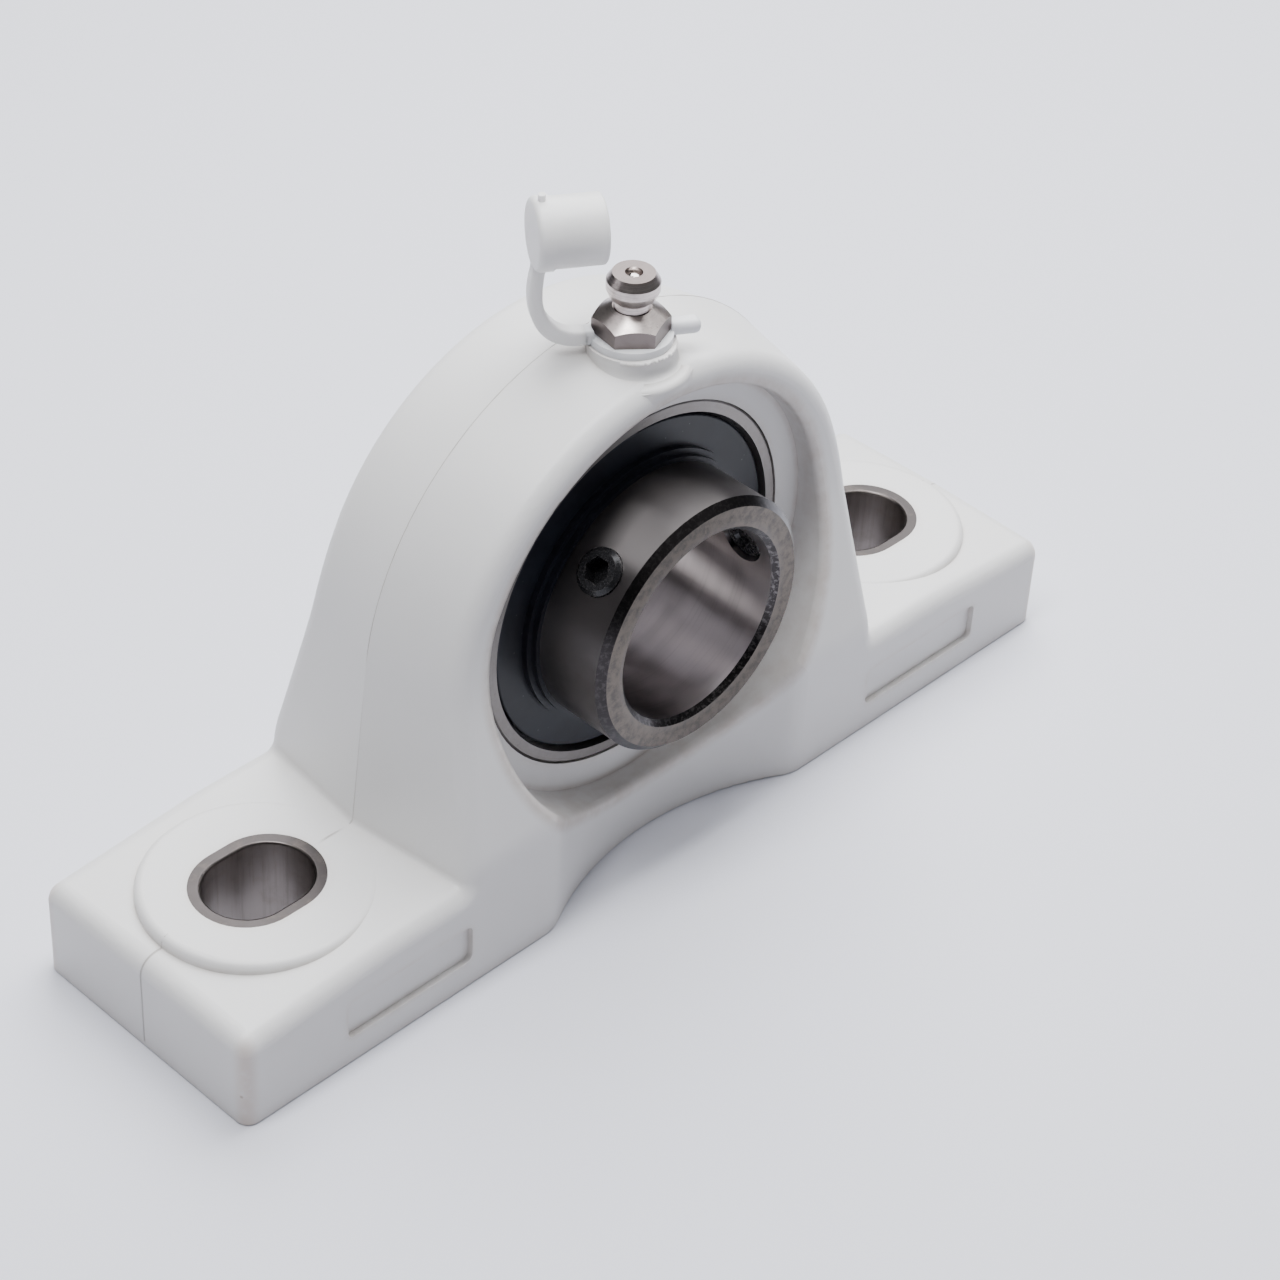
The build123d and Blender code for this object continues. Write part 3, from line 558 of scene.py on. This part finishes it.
def set_world():
    """Pale surroundings, brightest on one side, dimmer in what shiny surfaces reflect."""
    world = bpy.data.worlds.new("world")
    world.use_nodes = True
    tree = world.node_tree
    background = tree.nodes["Background"]
    background.inputs["Color"].default_value = (*WORLD_COLOR, 1)
    place = tree.nodes.new("ShaderNodeTexCoord")
    toward = tree.nodes.new("ShaderNodeVectorMath")
    toward.operation = "DOT_PRODUCT"
    toward.inputs[1].default_value = Vector(WORLD_AIM).normalized()
    level = tree.nodes.new("ShaderNodeMapRange")
    level.inputs["From Min"].default_value = WORLD_FROM
    level.inputs["To Min"].default_value = WORLD_LOW
    level.inputs["To Max"].default_value = WORLD_HIGH
    path = tree.nodes.new("ShaderNodeLightPath")
    share = tree.nodes.new("ShaderNodeMapRange")
    share.inputs["To Min"].default_value = 1.0
    share.inputs["To Max"].default_value = WORLD_GLOSS
    strength = tree.nodes.new("ShaderNodeMath")
    strength.operation = "MULTIPLY"
    tree.links.new(place.outputs["Generated"], toward.inputs[0])
    tree.links.new(toward.outputs["Value"], level.inputs["Value"])
    tree.links.new(path.outputs["Is Glossy Ray"], share.inputs["Value"])
    tree.links.new(level.outputs[0], strength.inputs[0])
    tree.links.new(share.outputs[0], strength.inputs[1])
    tree.links.new(strength.outputs[0], background.inputs["Strength"])
    bpy.context.scene.world = world


def add_piece(name, points, faces, material, body, smooth=False):
    """Mesh piece from points in millimetres, riding on a body."""
    mesh = bpy.data.meshes.new(name)
    mesh.from_pydata([Vector(p) * MM for p in points], [], faces)
    work = bmesh.new()
    work.from_mesh(mesh)
    bmesh.ops.recalc_face_normals(work, faces=work.faces)
    work.to_mesh(mesh)
    work.free()
    if smooth:
        mesh.shade_smooth()
    mesh.materials.append(material)
    piece = bpy.data.objects.new(name, mesh)
    bpy.context.scene.collection.objects.link(piece)
    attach(piece, body)


def swept(rings, closed=False):
    """Points and faces of a tube through rings of equally many points."""
    count = len(rings[0])
    points = [p for ring in rings for p in ring]
    faces = []
    spans = len(rings) if closed else len(rings) - 1
    for k in range(spans):
        base = k * count
        after = ((k + 1) % len(rings)) * count
        for i in range(count):
            j = (i + 1) % count
            faces.append((base + i, base + j, after + j, after + i))
    if not closed:
        faces.append(tuple(range(count)))
        faces.append(tuple(range(len(points) - count, len(points))))
    return points, faces


# ---- parting line of the mould ----
SEAM_HALF = 0.13
SEAM_RISE = 0.06
SEAM_ROOT = 0.10
SEAM_LEAST = 0.7              # its rise varies from this share of SEAM_RISE
SEAM_SPREAD = 0.6             # by up to this much more
SEAM_STEP = 0.5
SEAM_LOW = 12.5               # lowest point it may take in
SEAM_SHORT = 2.4              # stops before the rounding at the end
SLEEVE_REACH = 8.6


def parting_runs():
    """Outer outline of the housing on the plane of symmetry, as runs of points (x, z)."""
    work = bmesh.new()
    work.from_mesh(nodes["housing"].data)
    bmesh.ops.remove_doubles(work, verts=work.verts, dist=0.001 * MM)
    bmesh.ops.bisect_plane(
        work, geom=work.verts[:] + work.edges[:] + work.faces[:], dist=0.0001 * MM,
        plane_co=(0, 0, 0), plane_no=(0, 1, 0), clear_inner=True, clear_outer=True,
    )
    kept = {}
    for v in work.verts:
        x, z = v.co.x / MM, v.co.z / MM
        outside = math.hypot(x, z - AXIS_H) > SEAT_R + 4 and z > SEAM_LOW
        if outside and abs(x) < HALF_L - SEAM_SHORT and abs(abs(x) - BOLT_X) > SLEEVE_REACH:
            column = round(x / SEAM_STEP)
            if column not in kept or kept[column][1] < z:
                kept[column] = (x, z)
    work.free()
    runs = [[], [], []]
    for x, z in sorted(kept.values()):
        runs[(x > -BOLT_X) + (x > BOLT_X)].append((x, z))
    return runs


def add_parting_line():
    """Fine ridge where the two halves of the mould met."""
    for number, run in enumerate(parting_runs()):
        rings = []
        for k, (x, z) in enumerate(run):
            before = run[max(k - 1, 0)]
            after = run[min(k + 1, len(run) - 1)]
            along = Vector((after[0] - before[0], after[1] - before[1])).normalized()
            up = Vector((-along.y, along.x))
            rise = SEAM_RISE * (SEAM_LEAST + SEAM_SPREAD * chance.random())
            rings.append([
                (x - up.x * SEAM_ROOT, -SEAM_HALF, z - up.y * SEAM_ROOT),
                (x + up.x * rise, 0, z + up.y * rise),
                (x - up.x * SEAM_ROOT, SEAM_HALF, z - up.y * SEAM_ROOT),
            ])
        points, faces = swept(rings)
        name = "parting_line_%d" % (number + 1)
        add_piece(name, points, faces, seam, "housing")


# ---- flash left round the boss ----
FLASH_FROM = -148             # degrees about the nipple
FLASH_TO = -48
FLASH_STEP = 2.5
FLASH_IN = 5.12
FLASH_OUT = 5.45
FLASH_WAVE = 0.40
FLASH_TOP = 0.10
FLASH_LEAST = 0.4             # smallest share of FLASH_TOP
FLASH_FOOT = 0.55
FLASH_LIP = 0.1
FLASH_BEVEL = 0.12
FLASH_TAPER = 0.2


def add_boss_flash():
    """Ragged lip on the rim of the boss."""
    rings = []
    angle = FLASH_FROM
    while angle <= FLASH_TO:
        share = math.sin(math.pi * (angle - FLASH_FROM) / (FLASH_TO - FLASH_FROM))
        reach = FLASH_OUT + share * FLASH_WAVE * chance.random()
        lift = FLASH_LEAST + (1 - FLASH_LEAST) * chance.random()
        top = BOSS_TOP + share * FLASH_TOP * lift
        turn = Vector((math.cos(math.radians(angle)), math.sin(math.radians(angle))))
        section = [
            (FLASH_IN, BOSS_TOP - FLASH_FOOT), (FLASH_IN, top),
            (reach - FLASH_LIP, top), (reach, top - FLASH_BEVEL),
            (FLASH_OUT - FLASH_TAPER, BOSS_TOP - FLASH_FOOT),
        ]
        rings.append([(turn.x * r, NIPPLE_Y + turn.y * r, z) for r, z in section])
        angle += FLASH_STEP
    points, faces = swept(rings)
    add_piece("boss_flash", points, faces, plastic, "housing")


# ---- strap of the cap ----
STRAP_TURN = -31.0            # direction of the strap's plane, seen from above
STRAP_FOOT = -5.6             # where it leaves its tab, along that direction
STRAP_TOP = (-11.15, 10.65)   # where it meets the cap, along and up
STRAP_OVER = 0.3              # how far its ends run on into both neighbours
STRAP_SLACK = 0.1             # how near to an end a point still belongs to it


def add_strap():
    """Copy of the CAD strap, run on at both ends."""
    cad = nodes["cap_strap"]
    mesh = cad.data.copy()
    strap = bpy.data.objects.new("tether_strap", mesh)
    strap.matrix_world = cad.matrix_world.copy()
    bpy.context.scene.collection.objects.link(strap)
    turn = math.radians(STRAP_TURN)
    along = Vector((math.cos(turn), math.sin(turn), 0))
    origin = Vector((0, NIPPLE_Y, BOSS_TOP))
    for vertex in mesh.vertices:
        spot = strap.matrix_world @ vertex.co / MM - origin
        if spot.dot(along) > STRAP_FOOT - STRAP_SLACK:
            vertex.co += along * STRAP_OVER * MM
        elif spot.z > STRAP_TOP[1] - STRAP_SLACK:
            vertex.co.z += STRAP_OVER * MM
    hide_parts("cap_strap")
    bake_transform(strap)


def add_spring():
    """Copy of the CAD spring, riding on the housing."""
    cad = nodes["nipple_spring"]
    spring = bpy.data.objects.new("check_spring", cad.data.copy())
    spring.matrix_world = cad.matrix_world.copy()
    bpy.context.scene.collection.objects.link(spring)
    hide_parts("nipple_spring")
    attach(spring, "housing")
    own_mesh(spring)


# ---- fairing over the foot of the boss ----
SKIRT_R = 7.4
FAIRING_HALF = 46.0           # degrees each side of straight ahead
FAIRING_STEPS = 48
FAIRING_SINK = 0.3            # how far its two ends sink in
FAIRING_SPAN = 0.2            # furthest that it reaches past the skirt
FAIRING = (                   # share of the way to the front face, stand-off, depth
    (0.0, -1.2, 2.4), (0.0, -0.25, 2.75), (0.0, 0.0, 3.0), (0.0, 0.04, 3.25),
    (0.05, 0.05, 3.5), (0.2, 0.06, 3.8), (0.42, 0.04, 4.1), (0.65, 0.02, 4.4),
    (0.84, 0.0, 4.7), (0.96, -0.03, 5.0), (1.0, -0.12, 5.3), (1.0, -1.0, 5.3),
)


def add_skirt_fairing():
    """Soft lip that carries the foot of the boss down into the housing's front face."""
    rings = []
    for i in range(FAIRING_STEPS + 1):
        off = (2.0 * i / FAIRING_STEPS - 1.0) * FAIRING_HALF
        angle = math.radians(off - 90.0)
        face = (RING_HALF + NIPPLE_Y) / math.cos(math.radians(off))
        sunk = FAIRING_SINK * (abs(off) / FAIRING_HALF) ** 4
        limit = min(face, SKIRT_R + FAIRING_SPAN)
        ring = []
        for share, stand, depth in FAIRING:
            r = SKIRT_R + (limit - SKIRT_R) * share + stand - sunk
            x, y = r * math.cos(angle), NIPPLE_Y + r * math.sin(angle)
            ring.append((x, y, BOSS_TOP - depth))
        rings.append(ring)
    points, faces = swept(rings)
    add_piece(
        "skirt_fairing", points, faces, plastic, "housing", smooth=True
    )


# ---- knurled cups of the set screws ----
SCREW_Y = -14.3
SCREW_LEN = 4.4
SCREWS = {                    # direction in degrees, how far it stands out
    "set_screw_1": (137.0, 0.75),
    "set_screw_2": (17.0, 0.3),
}
KNURLS = 20
KNURL_IN = 1.45
KNURL_OUT = 2.35
KNURL_RISE = 0.14
KNURL_VALLEY = 0.02
KNURL_ROOT = 0.1              # how far the ring is sunk in the screw
KNURL_SLOPES = (0.6, 0.3)     # height at its inner and outer edge, as shares of the crest


def add_knurls():
    """Ring of sharp teeth round the cup at the inner end of each screw."""
    for name, (degrees, stand) in SCREWS.items():
        angle = math.radians(degrees)
        inward = Vector((-math.cos(angle), 0, -math.sin(angle)))
        side = Vector((math.sin(angle), 0, -math.cos(angle)))
        end = Vector((0, SCREW_Y, AXIS_H)) - inward * (INNER_R + stand - SCREW_LEN)
        rings = []
        for k in range(2 * KNURLS):
            turn = math.pi * k / KNURLS
            way = side * math.cos(turn) + Vector((0, 1, 0)) * math.sin(turn)
            top = KNURL_RISE if k % 2 else KNURL_VALLEY
            inner, outer = end + way * KNURL_IN, end + way * KNURL_OUT
            rings.append([
                inner - inward * KNURL_ROOT,
                inner + inward * top * KNURL_SLOPES[0],
                end + way * (KNURL_IN + KNURL_OUT) / 2 + inward * top,
                outer + inward * top * KNURL_SLOPES[1],
                outer - inward * KNURL_ROOT,
            ])
        points, faces = swept(rings, closed=True)
        add_piece(name + "_knurl", points, faces, screw, name)


# ---- build ----
SEED = 5
chance = random.Random(SEED)
plastic = moulded_plastic()
seam = parting_plastic()
screw = black_screw()
cap = milky_cap("cap_plastic", (0.98, 0.97, 0.97), 0.6)
dress(["housing"], plastic)
dress(["left_mount_sleeve", "right_mount_sleeve"], stainless_sleeve())
dress(["outer_ring"], ground_ring("outer_ring_steel", (0.34, 0.322, 0.31), 0.3))
dress(["inner_ring"], ground_ring("inner_ring_steel", (0.50, 0.47, 0.468), 1.0))
dress(["front_slinger", "rear_slinger"], black_slinger())
dress(["front_seal", "rear_seal"], seal_rubber())
dress(["set_screw_1", "set_screw_2"], screw)
dress(["grease_nipple"], nickel())
dress(["nipple_check_ball"], chromed_steel("check_ball_steel", (0.72, 0.68, 0.66), 0.06))
dress(["nipple_spring"], chromed_steel("spring_steel", (0.5, 0.5, 0.5), 0.2))
balls = ["ball_%d" % n for n in range(1, 10)]
dress(balls, chromed_steel("ball_steel", (0.68, 0.68, 0.69), 0.05))
dress(["cage_front_half", "cage_rear_half", "cage_rivets"], pressed_cage())
dress(["cap_strap", "nipple_cap"], cap)
dress(["cap_ring"], milky_cap("cap_ring_plastic", (0.86, 0.87, 0.90), 0.4))

add_parting_line()
add_boss_flash()
add_skirt_fairing()
add_strap()
add_spring()
add_knurls()
add_camera()
add_floor()
set_world()
add_lamps()
